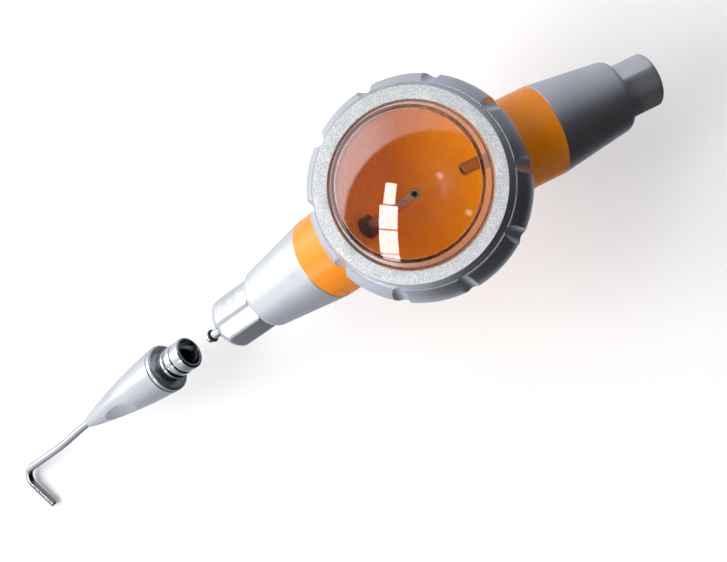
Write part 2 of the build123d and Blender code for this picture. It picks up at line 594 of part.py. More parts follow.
with BuildPart() as nozzle_bush:
    turn(front_arm, [(1.55, BUSH_START), (BUSH_RADIUS, BUSH_START), (BUSH_RADIUS, BUSH_END),
                     (0.52, BUSH_END), (0.52, 95.0), (1.55, 94.4)])
    with BuildSketch(front_arm.offset(BUSH_START - 0.5)) as passages:
        with PolarLocations(2.06, 4):
            Circle(0.3)
    extrude(passages.sketch, amount=BUSH_END - BUSH_START + 1, mode=Mode.SUBTRACT)
save(nozzle_bush, "nozzle_bush")

# Side view of the bent tube: first value along the arm axis, second towards the tip's side.
tip_side = Vector(-0.066, 0.985, -0.157)
tip_normal = front_arm.z_dir.cross(tip_side).normalized()
nozzle_side = Plane(origin=front_arm.origin, x_dir=front_arm.z_dir, z_dir=tip_normal)
nozzle_route = [(104.2, 0), (118.5, 0), (128.0, 0.9), (145.8, 1.0), (142.3, 12.0)]
nozzle_radii = [60, 60, 3.3]

with BuildPart() as nozzle_outer_tube:
    bent_tube(nozzle_side, nozzle_route, nozzle_radii, NOZZLE_TUBE_RADIUS, NOZZLE_TUBE_BORE)
save(nozzle_outer_tube, "nozzle_outer_tube")

with BuildPart() as nozzle_powder_tube:
    bent_tube(nozzle_side, [(95.2, 0)] + nozzle_route[1:-1] + [(142.4, 11.7)], nozzle_radii,
              POWDER_TUBE_RADIUS, POWDER_TUBE_BORE)
save(nozzle_powder_tube, "nozzle_powder_tube")
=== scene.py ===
import math

import bmesh
import bpy
from mathutils import Matrix, Vector


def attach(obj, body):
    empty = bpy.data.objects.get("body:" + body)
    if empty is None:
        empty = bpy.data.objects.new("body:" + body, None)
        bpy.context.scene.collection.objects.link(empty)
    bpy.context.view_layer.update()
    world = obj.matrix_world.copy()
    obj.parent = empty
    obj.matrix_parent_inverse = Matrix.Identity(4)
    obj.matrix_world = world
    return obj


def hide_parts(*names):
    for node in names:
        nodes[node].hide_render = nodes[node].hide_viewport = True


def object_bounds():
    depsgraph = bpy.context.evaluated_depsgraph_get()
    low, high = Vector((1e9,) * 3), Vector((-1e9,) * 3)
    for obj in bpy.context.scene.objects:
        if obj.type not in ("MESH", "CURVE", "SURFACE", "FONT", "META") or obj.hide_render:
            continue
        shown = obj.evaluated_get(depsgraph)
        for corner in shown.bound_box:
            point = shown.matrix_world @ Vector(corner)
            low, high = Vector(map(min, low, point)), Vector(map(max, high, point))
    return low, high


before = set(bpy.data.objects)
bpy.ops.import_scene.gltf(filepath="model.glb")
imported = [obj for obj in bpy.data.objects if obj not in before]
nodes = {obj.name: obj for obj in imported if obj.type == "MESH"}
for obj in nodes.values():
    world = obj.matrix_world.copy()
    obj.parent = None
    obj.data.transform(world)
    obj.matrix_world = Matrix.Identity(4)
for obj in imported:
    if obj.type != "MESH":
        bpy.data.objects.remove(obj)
cad_low, cad_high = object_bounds()
MM = 0.001


# ---------------------------------------------------------------- frames
# Millimetres, as in the CAD: the cap's axis, and each arm's axis from the point where they cross.
def placed(origin, x_dir, z_dir):
    z = Vector(z_dir).normalized()
    x = Vector(x_dir).normalized()
    matrix = Matrix((x, z.cross(x), z)).transposed().to_4x4()
    matrix.translation = Vector(origin)
    return matrix


rear_angle = math.radians(26.0)
front_angle = math.radians(23.0)
crossing = Vector((57.0 * math.cos(rear_angle), 0, 57.0 * math.sin(rear_angle)))
CAP = placed(crossing + Vector((0, 0, 12.4)), (1, 0, 0), (0, 0, 1))
CAVITY_CENTRE = crossing + Vector((0, 0, 1.4))
REAR = placed(
    crossing,
    (-math.sin(rear_angle), 0, math.cos(rear_angle)),
    (-math.cos(rear_angle), 0, -math.sin(rear_angle)),
)
FRONT = placed(
    crossing,
    (math.sin(front_angle), 0, math.cos(front_angle)),
    (math.cos(front_angle), 0, -math.sin(front_angle)),
)


THREAD_STARTS = 4
THREAD_LEAD = 6.0             # the cap's rise in one turn
THREAD_FADE = 0.25            # radians over which a ridge rises and falls at its ends


# ---------------------------------------------------------------- mesh making
def rounded(corners, steps=4):
    """A closed outline of (radius, height, rounding) corners, with each rounding turned into an arc."""
    points = []
    count = len(corners)
    for i, corner in enumerate(corners):
        here = Vector(corner[:2])
        rounding = corner[2] if len(corner) > 2 else 0.0
        before = Vector(corners[i - 1][:2]) - here
        after = Vector(corners[(i + 1) % count][:2]) - here
        half = before.angle(after) / 2
        if rounding <= 0 or half > math.radians(88):
            points.append(here)
            continue
        reach = min(rounding / math.tan(half), 0.47 * before.length, 0.47 * after.length)
        radius = reach * math.tan(half)
        start = here + before.normalized() * reach
        end = here + after.normalized() * reach
        centre = here + (before.normalized() + after.normalized()).normalized() * radius / math.sin(half)
        a = start - centre
        b = end - centre
        sweep = math.atan2(a.x * b.y - a.y * b.x, a.dot(b))
        for k in range(steps + 1):
            t = sweep * k / steps
            turned_x = a.x * math.cos(t) - a.y * math.sin(t)
            turned_y = a.x * math.sin(t) + a.y * math.cos(t)
            points.append(centre + Vector((turned_x, turned_y)))
    return [(p.x, p.y) for p in points]


def arc_through(start, middle, end, steps):
    """Points on the circle through three (radius, height) points, both ends included."""
    ax, ay = start
    bx, by = middle
    cx, cy = end
    d = 2 * (ax * (by - cy) + bx * (cy - ay) + cx * (ay - by))
    aa = ax**2 + ay**2
    bb = bx**2 + by**2
    cc = cx**2 + cy**2
    ux = (aa * (by - cy) + bb * (cy - ay) + cc * (ay - by)) / d
    uy = (aa * (cx - bx) + bb * (ax - cx) + cc * (bx - ax)) / d
    radius = math.hypot(ax - ux, ay - uy)
    first = math.atan2(ay - uy, ax - ux)
    turn = math.atan2(cy - uy, cx - ux) - first
    mid = math.atan2(by - uy, bx - ux) - first
    turn = (turn + math.pi) % (2 * math.pi) - math.pi
    mid = (mid + math.pi) % (2 * math.pi) - math.pi
    if mid * turn < 0:
        turn -= math.copysign(2 * math.pi, turn)
    angles = [first + turn * k / steps for k in range(steps + 1)]
    return [(ux + radius * math.cos(a), uy + radius * math.sin(a)) for a in angles]


def finish_mesh(bm, name, matrix, sharp=38.0):
    """Puts a mesh drawn in a local frame, in millimetres, into the shared frame, smooth with crisp edges."""
    bmesh.ops.remove_doubles(bm, verts=bm.verts, dist=1e-5)
    bmesh.ops.recalc_face_normals(bm, faces=bm.faces)
    mesh = bpy.data.meshes.new(name)
    for face in bm.faces:
        face.smooth = True
    limit = math.radians(sharp)
    for edge in bm.edges:
        if len(edge.link_faces) == 2 and edge.calc_face_angle(0) > limit:
            edge.smooth = False
    bm.to_mesh(mesh)
    bm.free()
    mesh.transform(Matrix.Scale(MM, 4) @ matrix)
    obj = bpy.data.objects.new(name, mesh)
    bpy.context.scene.collection.objects.link(obj)
    weighted = obj.modifiers.new("weighted", "WEIGHTED_NORMAL")
    weighted.keep_sharp = True
    weighted.weight = 60
    return obj


def evenly(count):
    return [2 * math.pi * k / count for k in range(count)]


def revolved(name, matrix, outline, angles=None, shape=None, sharp=38.0):
    """A turned solid from a closed outline of (radius, height) points.

    shape(radius, height, angle), if given, bends it.
    """
    angles = angles or evenly(192)
    bm = bmesh.new()
    rows = []
    for radius, height in outline:
        if radius < 1e-6:
            rows.append([bm.verts.new((0, 0, height))])
            continue
        row = []
        for angle in angles:
            r, h = shape(radius, height, angle) if shape else (radius, height)
            row.append(bm.verts.new((r * math.cos(angle), r * math.sin(angle), h)))
        rows.append(row)
    count = len(angles)
    for i, row in enumerate(rows):
        other = rows[(i + 1) % len(rows)]
        if len(row) == 1 and len(other) == 1:
            continue
        for k in range(count):
            j = (k + 1) % count
            if len(row) == 1:
                bm.faces.new((row[0], other[j], other[k]))
            elif len(other) == 1:
                bm.faces.new((row[k], row[j], other[0]))
            else:
                bm.faces.new((row[k], row[j], other[j], other[k]))
    return finish_mesh(bm, name, matrix, sharp)


def route_with_arcs(corners, radii, step=8):
    """A smooth run of points: straight stretches joined by arcs of the given radii."""
    points = [Vector(corners[0])]
    for corner, radius, before, after in zip(corners[1:-1], radii, corners, corners[2:]):
        here = Vector(corner)
        a = (Vector(before) - here).normalized()
        b = (Vector(after) - here).normalized()
        half = a.angle(b) / 2
        reach = radius / math.tan(half)
        centre = here + (a + b).normalized() * radius / math.sin(half)
        start = here + a * reach - centre
        end = here + b * reach - centre
        total = start.angle(end)
        count = max(4, int(total / math.radians(180.0 / step / 3)))
        for k in range(count + 1):
            t = total * k / count
            points.append(centre + (start * math.sin(total - t) + end * math.sin(t)) / math.sin(total))
    points.append(Vector(corners[-1]))
    return points


def swept_tube(name, matrix, points, outer, inner, lip=0.12, around=40):
    """A hollow round tube along a run of 3-D points, with its ends' edges rounded."""
    tangents = []
    for i in range(len(points)):
        a = points[max(i - 1, 0)]
        b = points[min(i + 1, len(points) - 1)]
        tangents.append((b - a).normalized())
    side = tangents[0].orthogonal().normalized()
    frames = []
    for tangent in tangents:
        side = (side - tangent * side.dot(tangent)).normalized()
        frames.append((side, tangent.cross(side)))
    rings = []

    def ring(i, radius, shift=0.0):
        u, v = frames[i]
        centre = points[i] + tangents[i] * shift
        rings.append([centre + (u * math.cos(a) + v * math.sin(a)) * radius for a in evenly(around)])

    last = len(points) - 1
    quarter = [math.radians(x) for x in (0, 22.5, 45, 67.5, 90)]
    for a in quarter:
        ring(0, outer - lip + lip * math.sin(a), lip - lip * math.cos(a))
    for i in range(1, last):
        ring(i, outer)
    for a in quarter:
        ring(last, outer - lip + lip * math.cos(a), -lip + lip * math.sin(a))
    small = min(lip, 0.05)
    ring(last, inner + small)
    ring(last, inner, -small)
    for i in range(last - 1, 0, -1):
        ring(i, inner)
    ring(0, inner, small)
    ring(0, inner + small)
    bm = bmesh.new()
    made = [[bm.verts.new(p) for p in r] for r in rings]
    for i, row in enumerate(made):
        other = made[(i + 1) % len(made)]
        for k in range(around):
            j = (k + 1) % around
            bm.faces.new((row[k], row[j], other[j], other[k]))
    return finish_mesh(bm, name, matrix)


def helix_ridges(name, matrix, radius, height, low, high, half_width, inward):
    """Thread ridges: rounded helical ribs that fade out at both ends. inward ribs stand on a bore."""
    bm = bmesh.new()
    sign = -1 if inward else 1
    section = [
        (-half_width, -0.12),
        (-half_width, 0.0),
        (-half_width * 0.55, 0.8),
        (-half_width * 0.35, 1.0),
    ]
    section += [(-x, y) for x, y in reversed(section)]
    for start in range(THREAD_STARTS):
        first = 2 * math.pi * start / THREAD_STARTS
        total = (high - low) / THREAD_LEAD * 2 * math.pi
        count = int(total / math.radians(2.0))
        rows = []
        for k in range(count + 1):
            t = total * k / count
            fade = min(1.0, t / THREAD_FADE, (total - t) / THREAD_FADE)
            fade = max(0.02, fade * fade * (3 - 2 * fade))
            row = []
            for across, out in section:
                r = radius + sign * (height * fade * out if out > 0 else out)
                z = low + THREAD_LEAD * t / (2 * math.pi) + across
                row.append(bm.verts.new((r * math.cos(first + t), r * math.sin(first + t), z)))
            rows.append(row)
        width = len(section)
        for a, b in zip(rows, rows[1:]):
            for i in range(width):
                j = (i + 1) % width
                bm.faces.new((a[i], a[j], b[j], b[i]))
        bm.faces.new(rows[0])
        bm.faces.new(list(reversed(rows[-1])))
    return finish_mesh(bm, name, matrix, 60)


def drill(obj, holes):
    """Cuts round holes, each (matrix, x, y, start, end, radius) in millimetres, out of a piece."""
    for matrix, x, y, start, end, radius in holes:
        outline = [(0, start), (radius, start), (radius, end), (0, end)]
        cutter = revolved("cutter", matrix @ Matrix.Translation((x, y, 0)), outline, evenly(40))
        cut = obj.modifiers.new("cut", "BOOLEAN")
        cut.operation = "DIFFERENCE"
        cut.solver = "EXACT"
        cut.object = cutter
        obj.modifiers.move(len(obj.modifiers) - 1, 0)
        bpy.context.view_layer.update()
        graph = bpy.context.evaluated_depsgraph_get()
        weighted = obj.modifiers["weighted"]
        weighted.show_viewport = False
        graph.update()
        made = bpy.data.meshes.new_from_object(obj.evaluated_get(graph))
        weighted.show_viewport = True
        obj.modifiers.remove(cut)
        obj.data = made
        bpy.data.objects.remove(cutter)


def smooth_min(a, b, k):
    """The lesser of a and b, with the change from one to the other rounded over k."""
    h = max(k - abs(a - b), 0.0) / k
    return min(a, b) - h * h * k / 4


# ---------------------------------------------------------------- materials
class Nodes:
    """A material with a Principled shader, and short ways to add the nodes that feed it."""

    def __init__(self, name, **sockets):
        self.material = bpy.data.materials.new(name)
        self.material.use_nodes = True
        self.tree = self.material.node_tree
        self.tree.nodes.clear()
        self.out = self.tree.nodes.new("ShaderNodeOutputMaterial")
        self.shader = self.tree.nodes.new("ShaderNodeBsdfPrincipled")
        self.link(self.shader.outputs["BSDF"], self.out.inputs["Surface"])
        for key, value in sockets.items():
            self.shader.inputs[key.replace("_", " ")].default_value = value
        self.place = self.tree.nodes.new("ShaderNodeTexCoord").outputs["Object"]

    def link(self, a, b):
        self.tree.links.new(a, b)

    def noise(self, scale, detail=3.0, roughness=0.5, stretch=None, distortion=0.0):
        node = self.tree.nodes.new("ShaderNodeTexNoise")
        node.inputs["Scale"].default_value = scale
        node.inputs["Detail"].default_value = detail
        node.inputs["Roughness"].default_value = roughness
        node.inputs["Distortion"].default_value = distortion
        self.link(self.stretched(stretch) if stretch else self.place, node.inputs["Vector"])
        return node.outputs["Fac"]

    def speckle(self, scale):
        node = self.tree.nodes.new("ShaderNodeTexVoronoi")
        node.inputs["Scale"].default_value = scale
        self.link(self.place, node.inputs["Vector"])
        return node.outputs["Color"]

    def stretched(self, matrix_and_scale):
        """Coordinates in a part's own frame, scaled along each of its axes."""
        matrix, scale = matrix_and_scale
        turn = self.tree.nodes.new("ShaderNodeMapping")
        turn.vector_type = "TEXTURE"
        turn.inputs["Location"].default_value = matrix.translation * MM
        turn.inputs["Rotation"].default_value = matrix.to_euler()
        self.link(self.place, turn.inputs["Vector"])
        size = self.tree.nodes.new("ShaderNodeVectorMath")
        size.operation = "MULTIPLY"
        size.inputs[1].default_value = scale
        self.link(turn.outputs["Vector"], size.inputs[0])
        return size.outputs["Vector"]

    def lathe_marks(self, matrix, scale):
        """Fine turning lines: noise that changes only along a part's axis and slowly around it."""
        return self.noise(1.0, 4.0, 0.7, stretch=(matrix, (180.0, 180.0, scale)))

    def ramp(self, value, stops):
        node = self.tree.nodes.new("ShaderNodeValToRGB")
        first, last = node.color_ramp.elements[0], node.color_ramp.elements[1]
        first.position, first.color = stops[0][0], (*stops[0][1], 1.0)
        last.position, last.color = stops[-1][0], (*stops[-1][1], 1.0)
        for position, colour in stops[1:-1]:
            node.color_ramp.elements.new(position).color = (*colour, 1.0)
        self.link(value, node.inputs["Fac"])
        return node.outputs["Color"]

    def span(self, value, low, high, from_low=0.3, from_high=0.7):
        node = self.tree.nodes.new("ShaderNodeMapRange")
        node.inputs["From Min"].default_value = from_low
        node.inputs["From Max"].default_value = from_high
        node.inputs["To Min"].default_value = low
        node.inputs["To Max"].default_value = high
        self.link(value, node.inputs["Value"])
        return node.outputs["Result"]

    def bump(self, value, strength, distance, below=None):
        node = self.tree.nodes.new("ShaderNodeBump")
        node.inputs["Strength"].default_value = strength
        node.inputs["Distance"].default_value = distance
        self.link(value, node.inputs["Height"])
        if below is not None:
            self.link(below, node.inputs["Normal"])
        return node.outputs["Normal"]

    def add(self, a, b, share=0.5):
        node = self.tree.nodes.new("ShaderNodeMix")
        node.inputs["Factor"].default_value = share
        self.link(a, node.inputs["A"])
        self.link(b, node.inputs["B"])
        return node.outputs["Result"]

    def set(self, socket, value):
        self.link(value, self.shader.inputs[socket])


def orange_plastic_painted_cavity_light():
    """Moulded orange plastic with painted light: painted brighter and yellower in the powder cavity, a
    deeper orange outside.
    """
    m = Nodes("orange_plastic_painted_cavity_light", Metallic=0.0, IOR=1.46, Coat_Weight=0.1, Coat_Roughness=0.08)
    cloud = m.noise(60.0, 4.0, 0.55)
    # Painted light: the inside colour is a brighter, yellower orange, so the powder cavity looks more
    # strongly lit than the outside of the bowl.
    inside = m.ramp(cloud, [(0.25, (0.93, 0.35, 0.004)), (0.75, (0.98, 0.40, 0.009))])
    outside = m.ramp(cloud, [(0.25, (0.82, 0.235, 0.003)), (0.75, (0.88, 0.27, 0.006))])
    reach = m.tree.nodes.new("ShaderNodeVectorMath")
    reach.operation = "DISTANCE"
    reach.inputs[1].default_value = CAVITY_CENTRE * MM
    m.link(m.place, reach.inputs[0])
    # Painted light: within about 19 mm of the cavity's centre the bowl takes the brighter inside colour.
    painted_cavity_light = m.tree.nodes.new("ShaderNodeMix")
    painted_cavity_light.data_type = "RGBA"
    m.link(m.span(reach.outputs["Value"], 0.0, 1.0, 0.0184, 0.0196), painted_cavity_light.inputs["Factor"])
    m.link(inside, painted_cavity_light.inputs["A"])
    m.link(outside, painted_cavity_light.inputs["B"])
    m.set("Base Color", painted_cavity_light.outputs["Result"])
    m.set("Roughness", m.span(m.noise(900.0, 3.0), 0.22, 0.34))
    m.shader.inputs["Subsurface Weight"].default_value = 0.12
    m.shader.inputs["Subsurface Radius"].default_value = (0.9, 0.25, 0.05)
    m.shader.inputs["Subsurface Scale"].default_value = 0.0015
    m.set("Normal", m.bump(m.noise(700.0, 2.0), 0.025, 0.0002))
    return m.material


def blasted_metal(name, dark, light, rough_low, rough_high, grain, strength):
    """Bead-blasted aluminium: a fine even sparkle."""
    m = Nodes(name, Metallic=0.6)
    fine = m.speckle(grain)
    cloud = m.noise(120.0, 3.0)
    m.set("Base Color", m.ramp(m.add(fine, cloud, 0.2), [(0.2, dark), (0.8, light)]))
    m.set("Roughness", m.span(m.noise(grain * 0.7, 2.0), rough_low, rough_high))
    grainy = m.add(fine, m.noise(grain * 0.6, 3.0, 0.7), 0.5)
    m.set("Normal", m.bump(grainy, strength, 0.00006))
    return m.material


def satin_metal(name, matrix, dark, light, rough_low=0.32, rough_high=0.44):
    """Matt anodised aluminium with faint turning lines round its axis."""
    m = Nodes(name, Metallic=0.92)
    lines = m.lathe_marks(matrix, 6500.0)
    cloud = m.noise(90.0, 4.0, 0.6)
    m.set("Base Color", m.ramp(cloud, [(0.3, dark), (0.7, light)]))
    m.set("Roughness", m.span(m.add(lines, cloud, 0.4), rough_low, rough_high))
    fine = m.bump(m.noise(5200.0, 2.0, 0.6), 0.10, 0.00003)
    m.set("Normal", m.bump(lines, 0.12, 0.00003, fine))
    return m.material


def polished_metal(name, matrix, dark, light, rough_low=0.07, rough_high=0.16, metallic=1.0):
    """Chrome plate with soft handling marks and the tool lines that show through it."""
    m = Nodes(name, Metallic=metallic)
    lines = m.lathe_marks(matrix, 4200.0)
    smudge = m.noise(140.0, 5.0, 0.62, distortion=0.6)
    m.set("Base Color", m.ramp(smudge, [(0.3, dark), (0.7, light)]))
    m.set("Roughness", m.span(smudge, rough_low, rough_high))
    m.set("Normal", m.bump(lines, 0.10, 0.00003))
    return m.material


def clear_cover():
    """Clear acrylic that lets lamps through to the bowl, with hair scratches from wiping."""
    m = Nodes(
        "clear_acrylic",
        Metallic=0.0,
        IOR=1.58,
        Transmission_Weight=1.0,
        Coat_Weight=1.0,
        Coat_Roughness=0.01,
    )
    m.shader.inputs["Base Color"].default_value = (0.985, 0.975, 0.97, 1.0)
    wiping = CAP @ Matrix.Rotation(0.6, 4, "Z")
    scratches = m.noise(1.0, 5.0, 0.75, stretch=(wiping, (5200.0, 220.0, 400.0)))
    m.set("Roughness", m.span(scratches, 0.0, 0.035, 0.5, 0.75))
    m.set("Normal", m.bump(scratches, 0.015, 0.00002))
    see = m.tree.nodes.new("ShaderNodeBsdfTransparent")
    see.inputs["Color"].default_value = (0.93, 0.92, 0.915, 1.0)
    path = m.tree.nodes.new("ShaderNodeLightPath")
    mix = m.tree.nodes.new("ShaderNodeMixShader")
    m.link(path.outputs["Is Shadow Ray"], mix.inputs["Fac"])
    m.link(m.shader.outputs["BSDF"], mix.inputs[1])
    m.link(see.outputs["BSDF"], mix.inputs[2])
    m.link(mix.outputs["Shader"], m.out.inputs["Surface"])
    return m.material


def soft_plastic(name, dark, light, rough_low, rough_high):
    """Rubber, silicone or a plain plastic, with a fine matt grain."""
    m = Nodes(name, Metallic=0.0, IOR=1.5)
    cloud = m.noise(250.0, 4.0, 0.6)
    m.set("Base Color", m.ramp(cloud, [(0.3, dark), (0.7, light)]))
    m.set("Roughness", m.span(cloud, rough_low, rough_high))
    m.set("Normal", m.bump(m.noise(1500.0, 2.0), 0.08, 0.0001))
    return m.material


orange = orange_plastic_painted_cavity_light()
ring_metal = blasted_metal("ring_blasted", (0.50, 0.52, 0.53), (0.86, 0.88, 0.89), 0.3, 0.5, 5200.0, 0.5)
ring_side = satin_metal("ring_side", CAP, (0.60, 0.62, 0.66), (0.72, 0.74, 0.78), 0.26, 0.36)
rear_satin = satin_metal("rear_satin", REAR, (0.60, 0.61, 0.64), (0.68, 0.69, 0.73))
front_satin = satin_metal("front_satin", FRONT, (0.66, 0.68, 0.70), (0.74, 0.76, 0.78))
cone_satin = satin_metal("cone_satin", FRONT, (0.60, 0.62, 0.65), (0.68, 0.70, 0.73), 0.22, 0.32)
rear_chrome = polished_metal("rear_chrome", REAR, (0.60, 0.61, 0.63), (0.72, 0.73, 0.76), 0.16, 0.28, 0.85)
front_chrome = polished_metal("front_chrome", FRONT, (0.56, 0.58, 0.60), (0.70, 0.72, 0.75))
steel = polished_metal("steel", FRONT, (0.52, 0.53, 0.55), (0.64, 0.66, 0.69), 0.12, 0.22)
tube_steel = polished_metal("tube_steel", FRONT, (0.50, 0.51, 0.53), (0.62, 0.64, 0.67), 0.14, 0.24)
bronze = polished_metal("bronze", REAR, (0.30, 0.16, 0.10), (0.46, 0.28, 0.19), 0.16, 0.26, 0.7)
outlet_metal = polished_metal("outlet_metal", REAR, (0.44, 0.30, 0.23), (0.60, 0.45, 0.37), 0.14, 0.24, 0.6)
brass = polished_metal("brass", FRONT, (0.62, 0.42, 0.16), (0.76, 0.55, 0.26), 0.18, 0.3)
brown = soft_plastic("brown_bush", (0.05, 0.012, 0.006), (0.09, 0.022, 0.01), 0.35, 0.5)
rubber = soft_plastic("black_rubber", (0.012, 0.012, 0.013), (0.03, 0.03, 0.032), 0.5, 0.7)
silicone = soft_plastic("amber_silicone", (0.30, 0.075, 0.015), (0.40, 0.11, 0.025), 0.35, 0.5)
ptfe = soft_plastic("amber_ptfe", (0.34, 0.11, 0.04), (0.44, 0.15, 0.06), 0.35, 0.5)
acrylic = clear_cover()

NODE_MATERIALS = {
    "powder_bowl": orange,
    "cap_ring": ring_metal,
    "glide_washer": ptfe,
    "cap_lens": acrylic,
    "cap_gasket": silicone,
    "rear_sleeve": rear_satin,
    "rear_sleeve_seal": rubber,
    "hose_socket": rear_chrome,
    "socket_seal": rubber,
    "air_feed_pipe": brass,
    "valve_seat": brass,
    "valve_ball": steel,
    "valve_spring": steel,
    "inlet_bush": brass,
    "air_inlet_tube": bronze,
    "water_pipe": steel,
    "outlet_bush": brown,
    "outlet_tube": outlet_metal,
    "powder_pipe": steel,
    "front_collar": front_satin,
    "collar_seal": rubber,
    "front_nut": front_chrome,
    "spigot": steel,
    "spigot_o_ring": rubber,
    "snap_ring": steel,
    "nut_seal": rubber,
    "nozzle_plug": front_chrome,
    "swivel_seal": rubber,
    "swivel_clip": steel,
    "nozzle_cone": cone_satin,
    "nozzle_bush": brass,
    "nozzle_outer_tube": tube_steel,
    "nozzle_powder_tube": steel,
}
for name, material in NODE_MATERIALS.items():
    for place in nodes[name].material_slots:
        place.material = material


def stands_for(obj, node, body, material):
    """obj shows in a CAD node's place and moves with its body."""
    obj.data.materials.clear()
    obj.data.materials.append(material)
    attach(obj, body)
    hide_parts(node)
    return obj


# ---------------------------------------------------------------- cap ring
SCALLOPS = 10
SCALLOP_TURN = math.radians(17.0)
NOTCH_RADIUS = 1.8
NOTCH_TILT = math.radians(15.7)
NOTCH_FLOOR = 20.85           # radius of a notch's floor at NOTCH_HEIGHT
NOTCH_HEIGHT = -2.0
NO_NOTCH = 99.0               # farther out than any wall
INNERMOST = 20.95             # nothing inside this radius is cut by a notch
NOTCH_EDGE = 0.12             # rounding where a notch meets the wall
FACE_TURNS_DOWN = (20.15, -0.15)  # past this radius and height the ring is satin, not blasted


def notch_reach(angle, height):
    """Distance from the cap's axis to the floor of the nearest finger notch, or a large number."""
    spacing = 2 * math.pi / SCALLOPS
    off = (angle - SCALLOP_TURN + spacing / 2) % spacing - spacing / 2
    deep = NOTCH_RADIUS / math.cos(NOTCH_TILT)
    centre = NOTCH_FLOOR + deep + (NOTCH_HEIGHT - height) * math.tan(NOTCH_TILT)
    a = (math.cos(off) / deep) ** 2 + (math.sin(off) / NOTCH_RADIUS) ** 2
    b = centre * math.cos(off) / deep**2
    c = (centre / deep) ** 2 - 1
    inside = b * b - a * c
    if inside <= 0:
        return NO_NOTCH
    return (b - math.sqrt(inside)) / a


def scalloped(radius, height, angle):
    """The ring's wall with its ten finger notches."""
    if radius < INNERMOST:
        return radius, height
    wall = smooth_min(radius, notch_reach(angle, height), NOTCH_EDGE)
    return max(wall, INNERMOST), height


ring_angles = []
for scallop in range(SCALLOPS):
    middle = SCALLOP_TURN + 2 * math.pi * scallop / SCALLOPS
    ring_angles += [middle + math.radians(x * 0.2) for x in range(-27, 28)]
    ring_angles += [middle + math.radians(6.5 + x * 1.15) for x in range(0, 21)]
side = arc_through((21.3, -2.52), (22.9, -5.0), (23.6, -10.0), 60)
ring_outline = rounded(
    [
        (20.85, -10.4, 0.12), (20.85, -3.4, 0.0), (17.3, -3.4, 0.1), (17.3, -0.02, 0.16),
        (20.1, 0.0, 0.12), (20.24, -0.3, 0.1),
        (20.87, -2.25, 0.1), (21.03, -2.5, 0.08), (21.22, -2.46, 0.05),
    ]
)
ring_outline += side + rounded([(23.6, -10.0, 0.0), (23.48, -10.28, 0.0), (23.2, -10.4, 0.0)])[1:]
ring_outline += [(22.4, -10.4), (21.6, -10.4)]
ring = revolved("screw_ring", CAP, ring_outline, ring_angles, scalloped)
stands_for(ring, "cap_ring", "ring", ring_metal)
ring.data.materials.append(ring_side)
for face in ring.data.polygons:
    middle = CAP.inverted() @ (face.center / MM)
    if middle.z < FACE_TURNS_DOWN[1] and math.hypot(middle.x, middle.y) > FACE_TURNS_DOWN[0]:
        face.material_index = 1

female = helix_ridges("ring_thread", CAP, 20.85, 0.22, -9.55, -4.2, 0.32, True)
female.data.materials.append(ring_metal)
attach(female, "ring")
male = helix_ridges("bowl_thread", CAP, 20.5, 0.24, -10.3, -6.4, 0.3, False)
male.data.materials.append(orange)
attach(male, "handpiece")


# ---------------------------------------------------------------- cover
def dome(half_width, base, rise, steps):
    """The arc of a shallow dome from its base in to the axis."""
    radius = (half_width**2 + (rise - base) ** 2) / (2 * (rise - base))
    centre = rise - radius
    full = math.asin(half_width / radius)
    angles = [full * k / steps for k in range(steps, -1, -1)]
    return [(radius * math.sin(a), centre + radius * math.cos(a)) for a in angles]


lens_outline = rounded(
    [
        (14.95, 2.15, 0.3), (16.0, -0.1, 0.2), (16.0, -4.95, 0.15), (20.2, -4.95, 0.15),
        (20.2, -3.75, 0.15), (17.0, -3.75, 0.12), (17.0, 0.0, 0.6), (15.9, 2.8, 0.6),
    ]
    + dome(15.9, 2.8, 5.8, 60)[3:]
    + list(reversed(dome(14.95, 2.15, 4.8, 60)))[:-2],
    6,
)
lens = revolved("clear_dome", CAP, lens_outline, evenly(256), sharp=50.0)
stands_for(lens, "cap_lens", "cover", acrylic)

# ---------------------------------------------------------------- rear arm
rear_sleeve_outline = rounded(
    [
        (7.0, 24.5), (7.9, 24.5), (8.2, 24.8), (8.2, 26.6), (7.55, 26.6), (7.55, 27.4),
        (8.2, 27.4), (8.2, 29.7), (10.1, 29.7, 0.12), (10.18, 29.95, 0.1), (8.1, 47.1, 0.5),
        (7.75, 47.9, 0.3), (7.2, 48.2, 0.2), (6.55, 48.2, 0.05), (6.55, 42.6), (7.0, 42.0),
    ],
    6,
)
sleeve = revolved("rear_sleeve_shell", REAR, rear_sleeve_outline, evenly(224))
stands_for(sleeve, "rear_sleeve", "handpiece", rear_satin)


def eight_sided(flats, turn, corner):
    """Distance to a rounded octagon, by angle about its axis."""

    def reach(angle):
        around = (math.degrees(angle) - turn) % 45.0
        off = min(around, 45.0 - around)
        flat = flats / 2 / math.cos(math.radians(off))
        return smooth_min(flat, corner, 0.35)

    return reach


OCTAGON_EDGE = 0.22           # rounding where a flat meets the turned end
FLAT_STEPS = (-22.5, -21.8, -21, -20, -18.5, -16, -12, -6, 0, 6, 12, 16, 18.5, 20, 21, 21.8)


def octagon_piece(name, matrix, flats, turn, corner, stem, face, bore):
    """A turned octagon. stem and bore are plain turned outlines.

    face lists (height, turned radius) along the flats.
    """
    reach = eight_sided(flats, turn, corner)
    across = []
    for k in range(8):
        middle = turn + 45.0 * k
        across += [math.radians(middle + x) for x in FLAT_STEPS]
    heights = {round(h, 4): r for h, r in face}

    def shape(radius, height, angle):
        turned_to = heights.get(round(height, 4))
        if turned_to is None or radius < 4.0 or abs(radius - turned_to) > 1e-6:
            return radius, height
        return smooth_min(turned_to, reach(angle), OCTAGON_EDGE), height

    outline = stem + [(r, h) for h, r in face] + bore
    return revolved(name, matrix, outline, across, shape, 50.0)


def between(start, end, count):
    return [start + (end - start) * k / count for k in range(count + 1)]


